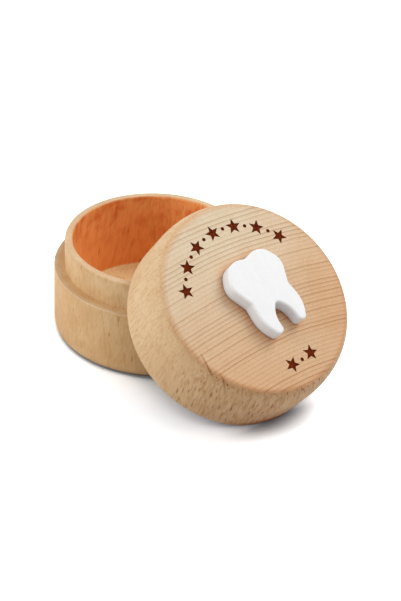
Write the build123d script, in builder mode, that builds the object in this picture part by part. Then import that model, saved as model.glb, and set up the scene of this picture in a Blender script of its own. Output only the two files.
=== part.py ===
from build123d import *
from math import cos, isclose, radians, sin, sqrt
import os

# A round wooden box for milk teeth, turned from beech. It stands open: the base holds a flat cup,
# and the lid leans against the base's neck with its lower edge on the table. A cut-out wooden
# tooth is glued on the lid. Lengths are in millimetres and angles in degrees. The origin is the
# middle of the base's underside, with +Z up.

# Base: a cup with a thinner neck that the lid slips over
box_radius = 27.5
body_height = 19.2
neck_height = 7.8
ledge_width = 2.9
neck_wall = 2.1
floor_thickness = 4.8
cup_corner_round = 1.0
foot_round = 2.8
ledge_round = 0.3
rim_round = 0.6

# Lid: as wide as the base, with a socket for the neck and a side that curves in to a flat top
lid_top_thickness = 10.6
lid_slip = 0.25
lid_headroom = 0.5
lid_mouth_round = 0.5
lid_curve_width = 2.8
lid_curve_height = 9.0

# Lean: how the lid rests on the neck and the table
lean_angle = 37.0
lean_direction = -51.0
lean_gap = 0.2
lid_turn = 9.0

# Burnt marks: a row of stars and dots along each of two arcs on the lid's top
mark_margin = 5.4
mark_depth = 0.25
star_radius = 2.2
star_waist_radius = 0.95
dot_radius = 0.5
mark_pitch_angle = 9.75
upper_star_count = 7
lower_star_count = 2
star_point_count = 5

# Tooth: a flat cut-out with two crown lobes and two roots, glued on the lid's top
tooth_width = 17.0
tooth_length = 21.1
tooth_thickness = 3.8
tooth_edge_round = 0.5
tooth_across = 1.15
tooth_along = -0.85
glue_thickness = 0.15
glue_inset = 0.4

# Corners of half the tooth's outline, from the dip in the crown to the fork of the roots, before
# they are rounded: shares of half the tooth's width across, of its length above the root tips, and
# of half its width for the corner's round
tooth_corner_shares = [
    (0.00, 0.968, 0.284),
    (0.303, 1.003, 0.455),
    (0.715, 0.990, 0.478),
    (1.066, 0.755, 0.541),
    (0.759, 0.468, 0.094),
    (0.837, 0.202, 1.02),
    (0.543, -0.017, 0.139),
    (0.331, 0.026, 0.121),
    (0.312, 0.209, 0.71),
    (0.00, 0.369, 0.126),
]

# The neck stands in from the body by the ledge, and the cup is bored down through it
neck_radius = box_radius - ledge_width
cup_radius = neck_radius - neck_wall
base_height = body_height + neck_height

# The lid's socket goes over the neck with a little room on every side
socket_radius = neck_radius + lid_slip
socket_depth = neck_height + lid_headroom
lid_height = socket_depth + lid_top_thickness
top_radius = box_radius - lid_curve_width
mark_ring_radius = top_radius - mark_margin

# Leaning, the lid touches the table with the round of its outer mouth edge
lean = radians(lean_angle)
mouth_height = (
    (box_radius - lid_mouth_round) * sin(lean) + lid_mouth_round * (1 - cos(lean))
)


def clear_radius(height, spacing):
    """How far from the base's axis a point at a height is clear of the base by the spacing."""
    radius = 0
    for shoulder_radius, shoulder_height, shoulder_round in (
        (box_radius, body_height, ledge_round),
        (neck_radius, base_height, rim_round),
    ):
        above = max(0, height - (shoulder_height - shoulder_round))
        reach = shoulder_round + spacing
        if above < reach:
            radius = max(radius, shoulder_radius - shoulder_round + sqrt(reach**2 - above**2))
    return radius


def lean_reach():
    """How far the middle of the lid's mouth is from the base's axis when the lid leans: as near
    as the lid's mouth and socket come to the base, with the lean gap left between them."""
    edge_radius = socket_radius + lid_mouth_round
    mouth_width = box_radius - lid_mouth_round - edge_radius
    corner_step = (rim_round + lid_mouth_round) / sqrt(2)
    rings = [
        (socket_radius - rim_round + corner_step, socket_depth - rim_round + corner_step)
    ]
    ring_steps = 40
    for step in range(ring_steps + 1):
        share = step / ring_steps
        mouth_ring = (edge_radius + share * mouth_width, lid_mouth_round)
        wall_ring = (edge_radius, lid_mouth_round + share * socket_depth)
        ceiling_ring = (share * edge_radius, lid_mouth_round + socket_depth)
        rings += [mouth_ring, wall_ring, ceiling_ring]
    reaches = []
    for radius, along in rings:
        for half_degree in range(360):
            around = radians(half_degree / 2)
            side = radius * sin(around)
            out = radius * cos(around) * cos(lean) + along * sin(lean)
            height = mouth_height - radius * cos(around) * sin(lean) + along * cos(lean)
            clear = clear_radius(height, lid_mouth_round + lean_gap)
            if side < clear:
                reaches.append(sqrt(clear**2 - side**2) - out)
    return max(reaches)


# The lid's own plane lies across its mouth, with its axis up and the tooth upright along its Y
direction = radians(lean_direction)
mouth_middle = Vector(
    lean_reach() * cos(direction), lean_reach() * sin(direction), mouth_height
)
lid_up = Vector(sin(lean) * cos(direction), sin(lean) * sin(direction), cos(lean))
lid_axis = Axis(mouth_middle, lid_up)
level_across = Vector(-sin(direction), cos(direction), 0)
lid_plane = Plane(mouth_middle, x_dir=level_across.rotate(lid_axis, lid_turn), z_dir=lid_up)
lid_section = Plane(mouth_middle, x_dir=lid_plane.x_dir, z_dir=-lid_plane.y_dir)
lid_top = lid_plane.offset(lid_height)
glue_plane = Plane(
    lid_top.from_local_coords((tooth_across, tooth_along, 0)),
    x_dir=lid_plane.x_dir,
    z_dir=lid_plane.z_dir,
)
tooth_plane = glue_plane.offset(glue_thickness)

# Base, turned in one piece
with BuildPart() as box_base:
    with BuildSketch(Plane.XZ):
        with BuildLine():
            Polyline(
                (0, 0),
                (box_radius, 0),
                (box_radius, body_height),
                (neck_radius, body_height),
                (neck_radius, base_height),
                (cup_radius, base_height),
                (cup_radius, floor_thickness),
                (0, floor_thickness),
                close=True,
            )
        make_face()
    revolve(axis=Axis.Z)
    foot, cup_corner, ledge, rim = box_base.edges().filter_by(GeomType.CIRCLE).group_by(Axis.Z)
    fillet(foot, foot_round)
    fillet(cup_corner, cup_corner_round)
    fillet(ledge.sort_by(SortBy.RADIUS)[-1], ledge_round)
    fillet(rim, rim_round)
box_base.part.label = "box_base"

# Lid, turned in one piece, with the marks burnt into its top
star_corners = []
for corner in range(2 * star_point_count):
    corner_radius = star_waist_radius if corner % 2 else star_radius
    corner_angle = radians(180 * corner / star_point_count)
    star_corners.append((corner_radius * cos(corner_angle), corner_radius * sin(corner_angle)))


def mark_places(middle_angle, count):
    """Places for one kind of mark, two pitches apart, on an arc about the middle angle."""
    half_span = (count - 1) * mark_pitch_angle
    return PolarLocations(
        mark_ring_radius,
        count,
        start_angle=middle_angle - half_span,
        angular_range=2 * half_span,
        endpoint=True,
    )


with BuildPart() as lid:
    with BuildSketch(lid_section):
        with BuildLine():
            Polyline(
                (0, lid_height),
                (0, socket_depth),
                (socket_radius, socket_depth),
                (socket_radius, 0),
                (box_radius, 0),
                (box_radius, lid_height - lid_curve_height),
            )
            EllipticalCenterArc(
                (top_radius, lid_height - lid_curve_height),
                lid_curve_width,
                lid_curve_height,
                start_angle=0,
                arc_size=90,
            )
            Line((top_radius, lid_height), (0, lid_height))
        make_face()
    revolve(axis=lid_axis)
    circles = lid.edges().filter_by(GeomType.CIRCLE)
    mouth = circles.group_by(lid_axis)[0]
    socket_circles = circles.filter_by(lambda circle: isclose(circle.radius, socket_radius))
    fillet(socket_circles.sort_by(lid_axis)[-1], rim_round)
    fillet(mouth, lid_mouth_round)
    with BuildSketch(lid_top.offset(-mark_depth)):
        for middle_angle, star_count in ((90, upper_star_count), (270, lower_star_count)):
            with mark_places(middle_angle, star_count):
                Polygon(*star_corners, align=None)
            with mark_places(middle_angle, star_count - 1):
                Circle(dot_radius)
    extrude(amount=mark_depth, mode=Mode.SUBTRACT)
lid.part.label = "lid"

# Outline that the tooth and its glue share
right_corners = []
right_rounds = []
for across_share, along_share, round_share in tooth_corner_shares:
    across = tooth_width / 2 * across_share
    along = tooth_length * (along_share - 1 / 2)
    right_corners.append((across, along))
    right_rounds.append(tooth_width / 2 * round_share)
left_corners = [(-across, along) for across, along in right_corners[-2:0:-1]]
left_rounds = right_rounds[-2:0:-1]

with BuildSketch() as tooth_shape:
    with BuildLine():
        FilletPolyline(
            right_corners + left_corners, radius=right_rounds + left_rounds, close=True
        )
    make_face()

# Film of glue, a little smaller than the tooth
with BuildPart() as tooth_glue:
    with BuildSketch(glue_plane):
        add(tooth_shape.sketch_local)
        offset(amount=-glue_inset)
    extrude(amount=glue_thickness)
tooth_glue.part.label = "tooth_glue"

# Tooth, sawn from a board and rounded along its upper edge
with BuildPart() as tooth:
    with BuildSketch(tooth_plane):
        add(tooth_shape.sketch_local)
    extrude(amount=tooth_thickness)
    upper_face = tooth.faces().sort_by(lid_axis)[-1]
    fillet(upper_face.edges(), tooth_edge_round)
tooth.part.label = "tooth"

os.makedirs("parts", exist_ok=True)
for piece in (box_base, lid, tooth_glue, tooth):
    export_step(piece.part, f"parts/{piece.part.label}.step")
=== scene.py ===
from math import cos, hypot, radians, sin

import bpy
from mathutils import Matrix, Vector

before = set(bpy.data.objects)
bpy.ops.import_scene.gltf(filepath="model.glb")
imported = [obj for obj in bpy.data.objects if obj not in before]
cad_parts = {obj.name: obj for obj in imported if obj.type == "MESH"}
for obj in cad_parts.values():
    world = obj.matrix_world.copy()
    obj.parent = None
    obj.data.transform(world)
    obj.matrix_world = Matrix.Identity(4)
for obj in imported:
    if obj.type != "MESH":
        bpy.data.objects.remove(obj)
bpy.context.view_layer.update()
bpy.ops.object.select_all(action="DESELECT")

# Base: a cup turned on the lathe from one block of beech, with its grain upright. A thinner neck
# stands up from it for the lid. It is sanded, and left bare but for a little wax.
millimetre = 0.001
base_height = 27.0
base_radius = 27.5
base_ledge_height = 19.2
base_neck_radius = 24.6
base_cup_radius = 22.5
base_cup_floor = 4.8

base_pale = (0.755, 0.530, 0.290, 1.0)
base_ruddy = (0.620, 0.360, 0.155, 1.0)
bore_painted_bounce_orange = (0.970, 0.440, 0.150, 1.0)
bore_painted_bounce_red = (0.930, 0.345, 0.100, 1.0)
cup_floor_painted_light = (1.000, 0.880, 0.480, 1.0)
base_handled_tint = (0.98, 0.94, 0.89, 1.0)
base_scorch_tint = (0.82, 0.56, 0.42, 1.0)
base_wear_and_highlight_glow = (1.00, 0.90, 0.74, 1.0)
base_foot_tint = (0.72, 0.58, 0.45, 1.0)

# Beech's own tints, and the pitch of its marks in millimetres, across and along the grain
mottle_tint = (0.88, 0.78, 0.66, 1.0)
ring_tint = (0.58, 0.38, 0.26, 1.0)
streak_tint = (0.76, 0.62, 0.48, 1.0)
fibre_tint = (0.84, 0.74, 0.62, 1.0)
dash_tint = (0.44, 0.28, 0.16, 1.0)
mottle_pitch = (4.5, 4.5, 5.5)
streak_pitch = (0.7, 0.7, 4.5)
fibre_pitch = (0.22, 0.22, 7.0)
dash_pitch = (0.70, 0.70, 4.8)
small_dash, large_dash = 0.7, 1.25
drift_pitch = (30, 30, 60)
ring_waves = (((40, 40, 120), 1.5), ((5, 5, 30), 0.35))
rings_per_length = 0.95
ring_even_width = 4
ring_widening = -0.0034
fine_rings_per_length = 2.3
coarse_detail, fine_detail = 2.0, 3.0
patch_middle = 0.5

# Where a noise, or a share of a ring or of a dash, starts to show and where it is full
mottle_span = (0.35, 0.65)
streak_span = (0.42, 0.66)
fibre_span = (0.35, 0.72)
fibre_rough_span = (0.3, 0.7)
drift_span = (0.3, 0.7)
ring_body_span = (0.1, 0.9)
ring_end_span = (0.66, 0.88)
ring_close_span = (1.0, 0.93)
fine_ring_span = (0.3, 0.8)
fine_close_span = (1.0, 0.8)
year_span = (0.15, 0.9)
dash_edge_span = (0.32, 0.14)
dash_strength_span = (0.1, 0.9)
dash_choice_span = (0.04, -0.04)

# How strong the marks are, with 1 for the whole tint
ring_body_depth = 0.4
weak_year_depth = 0.42
fine_ring_depth = 0.22
faint_dash_depth = 0.4
fibre_depth = 0.45

beech_roughness = (0.50, 0.66)
beech_specular = 0.2
sheen_smoothness = -0.14
fibre_relief = -0.7
dash_relief = -1.6
beech_bump_strength = 0.5
beech_bump_depth = 0.08 * millimetre


def add_step(tree, kind, joined=(), **settings):
    """A step of a finish, with its inputs joined to other steps or given a value."""
    step = tree.nodes.new(kind)
    for setting, value in settings.items():
        setattr(step, setting, value)
    for socket, value in dict(joined).items():
        if isinstance(value, bpy.types.NodeSocket):
            tree.links.new(value, step.inputs[socket])
        else:
            step.inputs[socket].default_value = value
    return step


def reckon(tree, operation, first, second=0.0, third=0.0):
    """The result of a sum on values of a finish."""
    values = {0: first, 1: second, 2: third}
    return add_step(tree, "ShaderNodeMath", values, operation=operation).outputs[0]


def product(tree, first, *others):
    """Values of a finish multiplied together."""
    for other in others:
        first = reckon(tree, "MULTIPLY", first, other)
    return first


def reckon_vector(tree, operation, first, second):
    """The result of a sum on two vectors of a finish."""
    values = {0: first, 1: second}
    return add_step(tree, "ShaderNodeVectorMath", values, operation=operation).outputs[0]


def flat_length(tree, vector):
    """How long a vector is across the Z axis."""
    flat = reckon_vector(tree, "MULTIPLY", vector, (1, 1, 0))
    step = add_step(tree, "ShaderNodeVectorMath", {0: flat}, operation="LENGTH")
    return step.outputs["Value"]


def split(tree, vector):
    """A vector's shares along X, Y and Z."""
    return add_step(tree, "ShaderNodeSeparateXYZ", {0: vector}).outputs[:]


def fade(tree, value, start, end, first=0.0, last=1.0):
    """Goes softly from the first to the last as the value goes from start to end."""
    joined = {"Value": value, "From Min": start, "From Max": end, "To Min": first, "To Max": last}
    step = add_step(tree, "ShaderNodeMapRange", joined, interpolation_type="SMOOTHSTEP")
    return step.outputs["Result"]


def between(tree, share, first, last):
    """The first where the share is 0, and the last where it is 1."""
    return fade(tree, share, 0.0, 1.0, first, last)


def band(tree, value, low, high, softness):
    """1 while the value lies between low and high, and fading to 0 outside them."""
    rising = fade(tree, value, low - softness, low + softness)
    falling = fade(tree, value, high + softness, high - softness)
    return product(tree, rising, falling)


def stain(tree, share, colour, stain_colour, blend="MIX"):
    """A colour stained by another to a share."""
    joined = {0: share, 6: colour, 7: stain_colour}
    step = add_step(tree, "ShaderNodeMix", joined, data_type="RGBA", blend_type=blend)
    return step.outputs[2]


def tint(tree, share, colour, tint_colour):
    """A colour darkened through a tint to a share."""
    return stain(tree, share, colour, tint_colour, "MULTIPLY")


def patches(tree, place, pitch, detail=fine_detail):
    """Soft patches that come and go from 0 to 1, of a pitch along each axis."""
    spread = reckon_vector(tree, "DIVIDE", place, pitch)
    joined = {"Vector": spread, "Scale": 1.0, "Detail": detail}
    return add_step(tree, "ShaderNodeTexNoise", joined).outputs[0]


def openness(tree, reach, samples):
    """1 in the open, and less where other surfaces stand within reach."""
    step = add_step(tree, "ShaderNodeAmbientOcclusion", {"Distance": reach}, samples=samples)
    return step.outputs["AO"]


def start_finish(name):
    """A new material and the tree of its steps."""
    material = bpy.data.materials.new(name)
    material.use_nodes = True
    return material, material.node_tree


def place_in_block(tree, block_place, block_turn):
    """Places in a turned block, in millimetres from the middle of its foot, Z along its axis."""
    joined = {
        "Vector": add_step(tree, "ShaderNodeTexCoord").outputs["Object"],
        "Location": block_place,
        "Rotation": block_turn,
        "Scale": (millimetre, millimetre, millimetre),
    }
    return add_step(tree, "ShaderNodeMapping", joined, vector_type="TEXTURE").outputs[0]


def coat(tree, colour, roughness, relief, bump_strength, bump_depth):
    """Gives a finish its colour, its roughness and the small relief that catches the light."""
    joined = {"Height": relief, "Strength": bump_strength, "Distance": bump_depth}
    bump = add_step(tree, "ShaderNodeBump", joined)
    shader = tree.nodes["Principled BSDF"]
    tree.links.new(colour, shader.inputs["Base Color"])
    tree.links.new(roughness, shader.inputs["Roughness"])
    tree.links.new(bump.outputs["Normal"], shader.inputs["Normal"])
    return shader


def cut_beech(name, block_place, block_turn, grain_lean, block_shift, heart):
    """Beech whose grain runs nearly along the block's own Z, cut from beside the tree's heart."""
    material, tree = start_finish(name)
    in_block = place_in_block(tree, block_place, block_turn)
    block_x, block_y, block_z = split(tree, in_block)
    along_grain = add_step(
        tree,
        "ShaderNodeCombineXYZ",
        {
            0: reckon(tree, "MULTIPLY_ADD", block_z, grain_lean[0], block_x),
            1: reckon(tree, "MULTIPLY_ADD", block_z, grain_lean[1], block_y),
            2: block_z,
        },
    ).outputs[0]
    place = reckon_vector(tree, "ADD", along_grain, block_shift)

    # How far a point is from the heart of the tree, on rings that aren't quite round
    from_heart = reckon_vector(tree, "SUBTRACT", along_grain, (*heart, 0))
    heart_distance = flat_length(tree, from_heart)
    for wave_pitch, wave_reach in ring_waves:
        wave = patches(tree, place, wave_pitch, coarse_detail)
        wave = reckon(tree, "SUBTRACT", wave, patch_middle)
        heart_distance = reckon(tree, "MULTIPLY_ADD", wave, wave_reach, heart_distance)

    # Growth rings: each darkens to a thin line, some years much more than others, and they get
    # wider away from the heart
    even_distance = hypot(*heart) - ring_even_width
    beyond = reckon(tree, "SUBTRACT", heart_distance, even_distance)
    beyond = reckon(tree, "MAXIMUM", beyond, 0)
    widening = product(tree, beyond, beyond, ring_widening)
    ring = reckon(tree, "MULTIPLY_ADD", heart_distance, rings_per_length, widening)
    ring_share = reckon(tree, "FRACT", ring)
    year = reckon(tree, "FLOOR", ring)
    year_chance = add_step(
        tree, "ShaderNodeTexWhiteNoise", {"W": year}, noise_dimensions="1D"
    ).outputs["Value"]
    ring_close = fade(tree, ring_share, *ring_close_span)
    ring_end = product(tree, fade(tree, ring_share, *ring_end_span), ring_close)
    ring_body = fade(tree, ring_share, *ring_body_span, 0.0, ring_body_depth)
    ring_body = product(tree, ring_body, ring_close)
    year_depth = fade(tree, year_chance, *year_span, weak_year_depth, 1.0)
    ring_line = product(tree, reckon(tree, "MAXIMUM", ring_end, ring_body), year_depth)
    fine_share = reckon(tree, "FRACT", product(tree, heart_distance, fine_rings_per_length))
    fine_line = product(
        tree, fade(tree, fine_share, *fine_ring_span), fade(tree, fine_share, *fine_close_span)
    )
    ring_line = reckon(tree, "MAXIMUM", ring_line, product(tree, fine_line, fine_ring_depth))

    # Rays and pores, cut across as short dark dashes along the grain
    dash_place = reckon_vector(tree, "DIVIDE", place, dash_pitch)
    dash_cells = add_step(tree, "ShaderNodeTexVoronoi", {"Vector": dash_place, "Scale": 1.0})
    dash_chance, dash_size, dash_strength = add_step(
        tree, "ShaderNodeSeparateColor", {0: dash_cells.outputs["Color"]}
    ).outputs[:]
    dash_width = between(tree, dash_size, small_dash, large_dash)
    dash_reach = reckon(tree, "DIVIDE", dash_cells.outputs["Distance"], dash_width)
    dash_depth = fade(tree, dash_strength, *dash_strength_span, faint_dash_depth, 1.0)
    return {
        "material": material,
        "tree": tree,
        "in_block": in_block,
        "place": place,
        "radius": flat_length(tree, in_block),
        "ring_line": ring_line,
        "dash": product(tree, fade(tree, dash_reach, *dash_edge_span), dash_depth),
        "dash_chance": dash_chance,
        "streak": patches(tree, place, streak_pitch),
        "fibre": patches(tree, place, fibre_pitch),
        "drift": patches(tree, place, drift_pitch, coarse_detail),
        "mottle": patches(tree, place, mottle_pitch),
    }


def colour_beech(wood, colour, rings, mottles, streaks, dash_spread, dash_depth):
    """The wood's colour, with its mottles, rings, streaks, fibres and dashes laid over it."""
    tree = wood["tree"]
    mottle = product(tree, fade(tree, wood["mottle"], *mottle_span), mottles)
    colour = tint(tree, mottle, colour, mottle_tint)
    colour = tint(tree, product(tree, wood["ring_line"], rings), colour, ring_tint)
    streak = product(tree, fade(tree, wood["streak"], *streak_span), streaks)
    colour = tint(tree, streak, colour, streak_tint)
    fibres = fade(tree, wood["fibre"], *fibre_span, 0.0, fibre_depth)
    colour = tint(tree, fibres, colour, fibre_tint)

    # Only the dashes that are chosen here show, and later leave a pit too
    beyond_spread = reckon(tree, "SUBTRACT", wood["dash_chance"], dash_spread)
    wood["dash"] = product(tree, wood["dash"], fade(tree, beyond_spread, *dash_choice_span))
    return tint(tree, product(tree, wood["dash"], dash_depth), colour, dash_tint)


def finish_beech(wood, colour, sheen_share):
    """Sanded and waxed: open fibres catch the light, and handled places are smoother."""
    tree = wood["tree"]
    roughness = fade(tree, wood["fibre"], *fibre_rough_span, *beech_roughness)
    roughness = reckon(tree, "MULTIPLY_ADD", sheen_share, sheen_smoothness, roughness)
    relief = reckon(tree, "MULTIPLY_ADD", wood["fibre"], fibre_relief, wood["ring_line"])
    relief = reckon(tree, "MULTIPLY_ADD", wood["dash"], dash_relief, relief)
    shader = coat(tree, colour, roughness, relief, beech_bump_strength, beech_bump_depth)
    shader.inputs["Specular IOR Level"].default_value = beech_specular
    return wood["material"]


# Heights and radii of the base, in millimetres, at which a mark starts to show and is full
bore_wall_span = (base_cup_radius + 0.35, base_cup_radius + 0.05)
cup_floor_span = (base_cup_radius + 0.30, base_cup_radius)
above_floor_span = (base_cup_floor + 0.2, base_cup_floor + 0.7)
on_floor_span = (base_cup_floor + 0.7, base_cup_floor + 0.2)
below_ledge_span = (base_ledge_height + 0.2, base_ledge_height - 0.4)
beside_neck_span = (base_neck_radius, base_neck_radius + 1)
low_down_span = (7.5, 4.0)
scorch_height_span = (10, 24)
rim_span = (base_height - 0.35, base_height - 0.05)
ledge_band = (base_ledge_height - 0.25, base_ledge_height + 0.1, 0.15)
ledge_span = (base_neck_radius + 1.2, base_radius - 0.4)
foot_span = (1.6, 0.0)

base_turn = (0, 0, radians(112))
base_grain_lean = (-0.06, 0.16)
base_block_shift = (61, 12, 40)
base_heart = (120, 0)
base_drift_depth = 0.9
base_ring_depth = 0.12
base_dash_depth = 0.55
outside_mottles, bore_mottles = 0.55, 0.20
outside_streaks, bore_streaks = 0.28, 0.35
high_dashes, low_dashes = 0.12, 0.45
bore_dash_gain = 1.8
scorch_pitch = (2.6, 2.6, 3.6)
scorch_span = (0.42, 0.70)
low_scorch_depth = 0.15
wear_and_highlight_depth = 0.14
foot_depth = 0.45

base_wood = cut_beech(
    "beech_base", (0, 0, 0), base_turn, base_grain_lean, base_block_shift, base_heart
)
tree = base_wood["tree"]
base_z = split(tree, base_wood["in_block"])[2]
base_drift = fade(tree, base_wood["drift"], *drift_span, 0.0, base_drift_depth)
bore = product(
    tree,
    fade(tree, base_wood["radius"], *bore_wall_span),
    fade(tree, base_z, *above_floor_span),
)
cup_floor = product(
    tree,
    fade(tree, base_wood["radius"], *cup_floor_span),
    fade(tree, base_z, *on_floor_span),
)
# Inside the bore the wall is painted a deep, bright orange: painted bounce light that the cup's
# walls throw on each other
base_colour = stain(
    tree,
    bore,
    stain(tree, base_drift, base_pale, base_ruddy),
    stain(tree, base_drift, bore_painted_bounce_orange, bore_painted_bounce_red),
)
# The cup's floor is painted far paler: painted light on a floor that lies in shade
base_colour = stain(tree, cup_floor, base_colour, cup_floor_painted_light)
handled = product(
    tree,
    fade(tree, base_z, *below_ledge_span),
    fade(tree, base_wood["radius"], *beside_neck_span),
)
base_colour = tint(tree, handled, base_colour, base_handled_tint)
base_colour = colour_beech(
    base_wood,
    base_colour,
    rings=base_ring_depth,
    mottles=between(tree, bore, outside_mottles, bore_mottles),
    streaks=between(tree, bore, outside_streaks, bore_streaks),
    dash_spread=product(
        tree,
        fade(tree, base_z, *low_down_span, high_dashes, low_dashes),
        between(tree, bore, 1.0, bore_dash_gain),
    ),
    dash_depth=base_dash_depth,
)

# The bore was rubbed hot by the tool, most of all near its mouth
scorch = product(
    tree,
    fade(tree, patches(tree, base_wood["place"], scorch_pitch), *scorch_span),
    fade(tree, base_z, *scorch_height_span, low_scorch_depth, 1.0),
    bore,
)
base_colour = tint(tree, scorch, base_colour, base_scorch_tint)

# The rim's top and the ledge are paler: partly worn pale, partly a painted highlight where they
# face the light
ledge_wear_and_highlight = product(
    tree, band(tree, base_z, *ledge_band), fade(tree, base_wood["radius"], *ledge_span)
)
wear_and_highlight = reckon(tree, "MAXIMUM", fade(tree, base_z, *rim_span), ledge_wear_and_highlight)
worn_and_highlight = product(tree, wear_and_highlight, wear_and_highlight_depth)
base_colour = stain(tree, worn_and_highlight, base_colour, base_wear_and_highlight_glow, "SCREEN")
# The colour darkens towards the foot
foot = fade(tree, base_z, *foot_span, 0.0, foot_depth)
base_colour = tint(tree, foot, base_colour, base_foot_tint)
box_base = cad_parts["box_base"]
box_base.data.materials[0] = finish_beech(base_wood, base_colour, wear_and_highlight)

# Lid: turned from beech too, so that its flat top is end grain with the tree's rings across it.
# Its stars and dots are burnt in with a laser. It leans on the neck, its mouth's edge on the table.
lid_place = (0.0194508, -0.0240198, 0.0163497)
lid_turn = (0, radians(37), radians(-51))
lid_height = 18.9
lid_top_radius = 24.7
lid_mark_depth = 0.25

lid_face_pale = (0.880, 0.740, 0.540, 1.0)
lid_face_ruddy = (0.815, 0.520, 0.295, 1.0)
lid_side_pale = (0.760, 0.550, 0.325, 1.0)
lid_side_ruddy = (0.650, 0.425, 0.235, 1.0)
lid_edge_shade_and_grain_tint = (0.82, 0.58, 0.40, 1.0)
corner_warm_shade_tint = (0.98, 0.82, 0.74, 1.0)
corner_dark_shade_tint = (0.48, 0.28, 0.19, 1.0)
dark_line_tint = (0.50, 0.32, 0.18, 1.0)
char_dark = (0.110, 0.010, 0.001, 1.0)
char_brown = (0.185, 0.030, 0.004, 1.0)

# Lengths in millimetres, angles and shares at which a mark of the lid starts to show and is full
lid_drift_span = (-26, 22)
lid_ring_span = (-24, 14)
face_edge_span = (lid_top_radius + 1.2, lid_top_radius + 0.1)
face_height_span = (lid_height - 4, lid_height - 1)
off_face_span = (0.5, 0.0)
pitted_band = (radians(-66), radians(20), radians(6))
lid_edge_band = (lid_top_radius - 0.2, lid_top_radius + 1.2, 0.5)
lid_edge_span = (lid_height - 2.6, lid_height - 0.6)
dark_line_width_span = (0.30, 0.06)
dark_line_height_span = (lid_height - 4, lid_height - 3)
burnt_band = (lid_height - lid_mark_depth - 0.1, lid_height - 0.06, 0.03)
burnt_edge_span = (lid_top_radius - 0.2, lid_top_radius - 0.6)

lid_grain_lean = (0.16, 0.16)
lid_heart = (150, 6)
lid_heart_slant = 0.35
lid_drift_depth = 0.9
far_rings, near_rings = 0.62, 0.90
side_rings = 0.12
side_mottles, face_mottles = 0.35, 0.20
sound_streaks, pitted_streaks, face_streaks = 0.40, 0.85, 0.15
sound_dashes, pitted_dashes = 0.3, 1.0
sound_dash_depth, pitted_dash_depth = 0.35, 0.95
lid_edge_shade_and_grain_depth = 0.40

lid_wood = cut_beech("beech_lid", lid_place, lid_turn, lid_grain_lean, (0, 0, 0), lid_heart)
tree = lid_wood["tree"]
lid_x, lid_y, lid_z = split(tree, lid_wood["in_block"])
lid_around = reckon(tree, "ARCTAN2", lid_y, lid_x)
towards_heart = reckon(tree, "MULTIPLY_ADD", lid_y, lid_heart_slant, lid_x)
lid_ruddy = reckon(
    tree,
    "ADD",
    reckon(tree, "SUBTRACT", lid_wood["drift"], patch_middle),
    fade(tree, towards_heart, *lid_drift_span, 0.0, lid_drift_depth),
)
lid_face = product(
    tree,
    fade(tree, lid_wood["radius"], *face_edge_span),
    fade(tree, lid_z, *face_height_span),
)
lid_colour = stain(
    tree,
    lid_face,
    stain(tree, lid_ruddy, lid_side_pale, lid_side_ruddy),
    stain(tree, lid_ruddy, lid_face_pale, lid_face_ruddy),
)

# The lower part of the side, cut across the rays, is more pitted and streaked than the rest
pitted = band(tree, lid_around, *pitted_band)
side_streaks = between(tree, pitted, sound_streaks, pitted_streaks)
lid_colour = colour_beech(
    lid_wood,
    lid_colour,
    rings=product(
        tree,
        fade(tree, towards_heart, *lid_ring_span, far_rings, near_rings),
        between(tree, lid_face, side_rings, 1.0),
    ),
    mottles=between(tree, lid_face, side_mottles, face_mottles),
    streaks=between(tree, lid_face, side_streaks, face_streaks),
    dash_spread=product(
        tree,
        between(tree, pitted, sound_dashes, pitted_dashes),
        fade(tree, lid_face, *off_face_span),
    ),
    dash_depth=between(tree, pitted, sound_dash_depth, pitted_dash_depth),
)
# A darker band round the edge of the top: painted shade on the rounding, together with end grain
# there that takes up more wax
lid_edge = product(
    tree,
    band(tree, lid_wood["radius"], *lid_edge_band),
    fade(tree, lid_z, *lid_edge_span),
)
lid_colour = tint(tree, product(tree, lid_edge, lid_edge_shade_and_grain_depth), lid_colour, lid_edge_shade_and_grain_tint)

# Painted shade: the colour warms and darkens in the corner round the tooth's foot and in the
# socket's corners, where other surfaces stand close
corner_reach = 3.5 * millimetre
corner_warm_shade_span = (0.96, 0.65)
corner_dark_shade_span = (0.80, 0.30)
corner_dark_shade_depth = 0.9
corner_openness = openness(tree, corner_reach, samples=8)
corner_warm_shade = fade(tree, corner_openness, *corner_warm_shade_span)
lid_colour = tint(tree, corner_warm_shade, lid_colour, corner_warm_shade_tint)
corner_dark_shade = fade(tree, corner_openness, *corner_dark_shade_span, 0.0, corner_dark_shade_depth)
lid_colour = tint(tree, corner_dark_shade, lid_colour, corner_dark_shade_tint)

# Two dark lines along the crease at the edge of the top, each between two angles in degrees and
# between two radii in millimetres
dark_edge_lines = ((-71, -55, 23.9, 26.0), (-55, -45, 24.9, 26.8))
dark_line_end = 2
dark_line_end_softness = 3
dark_line_depth = 0.8
for start_angle, end_angle, start_radius, end_radius in dark_edge_lines:
    dark_line_radius = fade(
        tree, lid_around, radians(start_angle), radians(end_angle), start_radius, end_radius
    )
    beside = reckon(tree, "SUBTRACT", lid_wood["radius"], dark_line_radius)
    beside = reckon(tree, "ABSOLUTE", beside)
    along = band(
        tree,
        lid_around,
        radians(start_angle + dark_line_end),
        radians(end_angle - dark_line_end),
        radians(dark_line_end_softness),
    )
    dark_edge_line = product(
        tree,
        fade(tree, beside, *dark_line_width_span),
        along,
        fade(tree, lid_z, *dark_line_height_span),
        dark_line_depth,
    )
    lid_colour = tint(tree, dark_edge_line, lid_colour, dark_line_tint)

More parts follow.
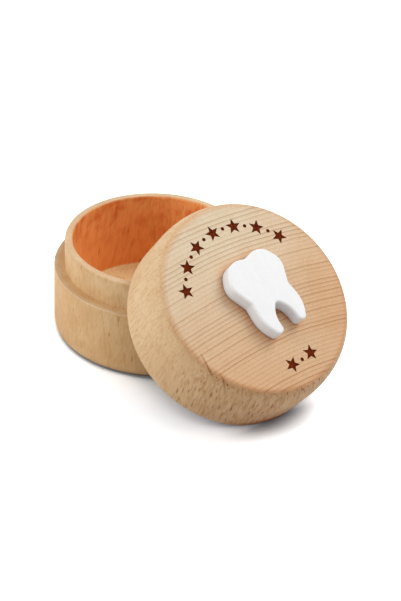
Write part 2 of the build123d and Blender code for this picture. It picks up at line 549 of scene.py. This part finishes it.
# The marks are charred on their floors and walls, and the char is dull
char_pitch = (0.5, 0.5, 2.0)
char_span = (0.3, 0.7)
char_specular = 0.02
burnt = product(
    tree,
    band(tree, lid_z, *burnt_band),
    fade(tree, lid_wood["radius"], *burnt_edge_span),
)
char_share = fade(tree, patches(tree, lid_wood["place"], char_pitch), *char_span)
char_colour = stain(tree, char_share, char_dark, char_brown)
lid_colour = stain(tree, burnt, lid_colour, char_colour)
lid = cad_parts["lid"]
lid.data.materials[0] = finish_beech(lid_wood, lid_colour, lid_edge)
lid_specular = between(tree, burnt, beech_specular, char_specular)
tree.links.new(lid_specular, tree.nodes["Principled BSDF"].inputs["Specular IOR Level"])

# Glue: a thin film of white wood glue that holds the tooth to the lid, dried clear and yellowish
# with a few bubbles and a smooth skin where it shows under the tooth's edge.
glue_thin = (0.62, 0.50, 0.33, 1.0)
glue_thick = (0.80, 0.72, 0.55, 1.0)
glue_bubble = (0.88, 0.83, 0.70, 1.0)
glue_pitch = (2.0, 2.0, 2.0)
glue_span = (0.35, 0.65)
glue_roughness = (0.22, 0.40)
bubbles_per_length = 2.5
bubble_span = (0.22, 0.10)
glue_bump_strength = 0.3
glue_bump_depth = 0.1 * millimetre

glue_material, tree = start_finish("wood_glue")
glue_place = place_in_block(tree, lid_place, lid_turn)
thickness = patches(tree, glue_place, glue_pitch)
bubbles = add_step(
    tree, "ShaderNodeTexVoronoi", {"Vector": glue_place, "Scale": bubbles_per_length}
).outputs["Distance"]
glue_colour = stain(tree, fade(tree, thickness, *glue_span), glue_thin, glue_thick)
glue_colour = stain(tree, fade(tree, bubbles, *bubble_span), glue_colour, glue_bubble)
coat(
    tree,
    glue_colour,
    fade(tree, thickness, *glue_span, *glue_roughness),
    thickness,
    glue_bump_strength,
    glue_bump_depth,
)
tooth_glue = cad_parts["tooth_glue"]
tooth_glue.data.materials[0] = glue_material

# Tooth: cut with a scroll saw from a thin board, its upper edge sanded round, and painted white.
# The paint is thinner on its edges and keeps a little of the brush and of the wood's fibres.
paint_in_grooves = (0.912, 0.912, 0.916, 1.0)
paint_on_ridges = (0.936, 0.936, 0.938, 1.0)
tooth_wall_painted_shade_tint = (0.87, 0.915, 0.96, 1.0)
tooth_foot_shade_tint = (0.80, 0.76, 0.73, 1.0)
thin_paint_tint = (0.90, 0.86, 0.78, 1.0)
tooth_wall_span = (lid_height + 3.7, lid_height + 3.2)
tooth_foot_span = (lid_height + 1.2, lid_height + 0.2)
tooth_edge_band = (lid_height + 3.45, lid_height + 3.75, 0.2)
tooth_foot_shade_depth = 0.5
thin_paint_depth = 0.35
brush_pitch = (6.0, 0.5, 3.0)
brush_span = (0.3, 0.7)
brush_relief = 0.5
skin_pitch = (0.7, 0.7, 0.7)
skin_span = (0.3, 0.7)
thin_skin_span = (0.45, 0.70)
paint_roughness = (0.38, 0.52)
paint_bump_strength = 0.15
paint_bump_depth = 0.08 * millimetre

tooth_material, tree = start_finish("tooth_paint")
tooth_in_block = place_in_block(tree, lid_place, lid_turn)
tooth_z = split(tree, tooth_in_block)[2]
brush = patches(tree, tooth_in_block, brush_pitch)
skin = patches(tree, tooth_in_block, skin_pitch, coarse_detail)
ridges = fade(tree, brush, *brush_span)
paint_colour = stain(tree, ridges, paint_in_grooves, paint_on_ridges)
# The walls are painted darker and cooler than the top: painted shade
wall = fade(tree, tooth_z, *tooth_wall_span)
paint_colour = tint(tree, wall, paint_colour, tooth_wall_painted_shade_tint)
# Painted shade: the walls darken near the foot, where the tooth meets the lid
tooth_foot_shade = fade(tree, tooth_z, *tooth_foot_span, 0.0, tooth_foot_shade_depth)
paint_colour = tint(tree, tooth_foot_shade, paint_colour, tooth_foot_shade_tint)
thin_paint = product(
    tree,
    band(tree, tooth_z, *tooth_edge_band),
    fade(tree, skin, *thin_skin_span),
    thin_paint_depth,
)
paint_colour = tint(tree, thin_paint, paint_colour, thin_paint_tint)
coat(
    tree,
    paint_colour,
    fade(tree, skin, *skin_span, *paint_roughness),
    reckon(tree, "MULTIPLY_ADD", brush, brush_relief, skin),
    paint_bump_strength,
    paint_bump_depth,
)
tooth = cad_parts["tooth"]
tooth.data.materials[0] = tooth_material

# Studio: the box stands on a plain white table in a light tent, with a large soft lamp above on
# its right and another low on its left. The camera looks down on it as in the photograph.
table_size = 1.2
table_lit = (0.65, 0.65, 0.65, 1.0)
table_painted_shadow = (0.36, 0.42, 0.47, 1.0)
table_bright = (1.68, 1.78, 1.87, 1.0)
table_shade_reach = 0.03
table_shade_span = (0.24, 0.56)
tent_white = (1.0, 1.0, 1.0, 1.0)
tent_light, tent_seen = 0.53, 1.0
lamp_aim = (0.01, -0.01, 0.02)


def seen_directly(tree):
    """1 where something is seen, itself or in a shine, and 0 where it lights other things."""
    seen = add_step(tree, "ShaderNodeLightPath").outputs
    mirrored = reckon(tree, "MAXIMUM", seen["Is Glossy Ray"], seen["Is Transmission Ray"])
    return reckon(tree, "MAXIMUM", seen["Is Camera Ray"], mirrored)


def hang_lamp(name, place, size, power):
    """A soft square lamp that shines towards the box."""
    lamp = bpy.data.lights.new(name, "AREA")
    lamp.shape = "SQUARE"
    lamp.size = size
    lamp.energy = power
    hung = bpy.data.objects.new(name, lamp)
    hung.location = place
    hung.rotation_euler = (Vector(place) - Vector(lamp_aim)).to_track_quat("Z", "Y").to_euler()
    bpy.context.scene.collection.objects.link(hung)


bpy.ops.mesh.primitive_plane_add(size=table_size, location=(0, 0, 0))
table_top = bpy.context.object
table_top.name = "table_top"
table_material, tree = start_finish("white_table")
tree.nodes.remove(tree.nodes["Principled BSDF"])
# Painted shadow: where the box stands close, the table the camera sees darkens, on top of the
# shadow its lamps cast
table_openness = openness(tree, table_shade_reach, samples=16)
unshaded = fade(tree, table_openness, *table_shade_span)
table_seen = stain(tree, unshaded, table_painted_shadow, table_bright)
table_colour = stain(tree, seen_directly(tree), table_lit, table_seen)
matte = add_step(tree, "ShaderNodeBsdfDiffuse", {"Color": table_colour})
tree.links.new(matte.outputs[0], tree.nodes["Material Output"].inputs["Surface"])
table_top.data.materials.append(table_material)

world = bpy.data.worlds.new("studio")
bpy.context.scene.world = world
world.use_nodes = True
tree = world.node_tree
tent = tree.nodes["Background"]
tent.inputs["Color"].default_value = tent_white
tent_strength = between(tree, seen_directly(tree), tent_light, tent_seen)
tree.links.new(tent_strength, tent.inputs["Strength"])

hang_lamp("right_lamp", place=(0.45, 0.15, 0.62), size=0.45, power=2.72)
hang_lamp("left_lamp", place=(-0.70, -0.15, 0.35), size=0.50, power=3.12)

camera_place = (0.01260, -0.35519, 0.24091)
camera_tilt = radians(33.30)
camera_roll = radians(3.18)
camera_lens = 92.57
camera_sensor_width = 36
level_right = Vector((1, 0, 0))
level_up = Vector((0, sin(camera_tilt), cos(camera_tilt)))
camera_right = level_right * cos(camera_roll) + level_up * sin(camera_roll)
camera_up = level_up * cos(camera_roll) - level_right * sin(camera_roll)
camera_axes = Matrix((camera_right, camera_up, camera_right.cross(camera_up))).transposed()
camera_data = bpy.data.cameras.new("camera")
camera_data.lens = camera_lens
camera_data.sensor_width = camera_sensor_width
camera = bpy.data.objects.new("camera", camera_data)
bpy.context.scene.collection.objects.link(camera)
camera.matrix_world = Matrix.Translation(camera_place) @ camera_axes.to_4x4()
bpy.context.scene.camera = camera
bpy.context.scene.view_settings.view_transform = "Standard"
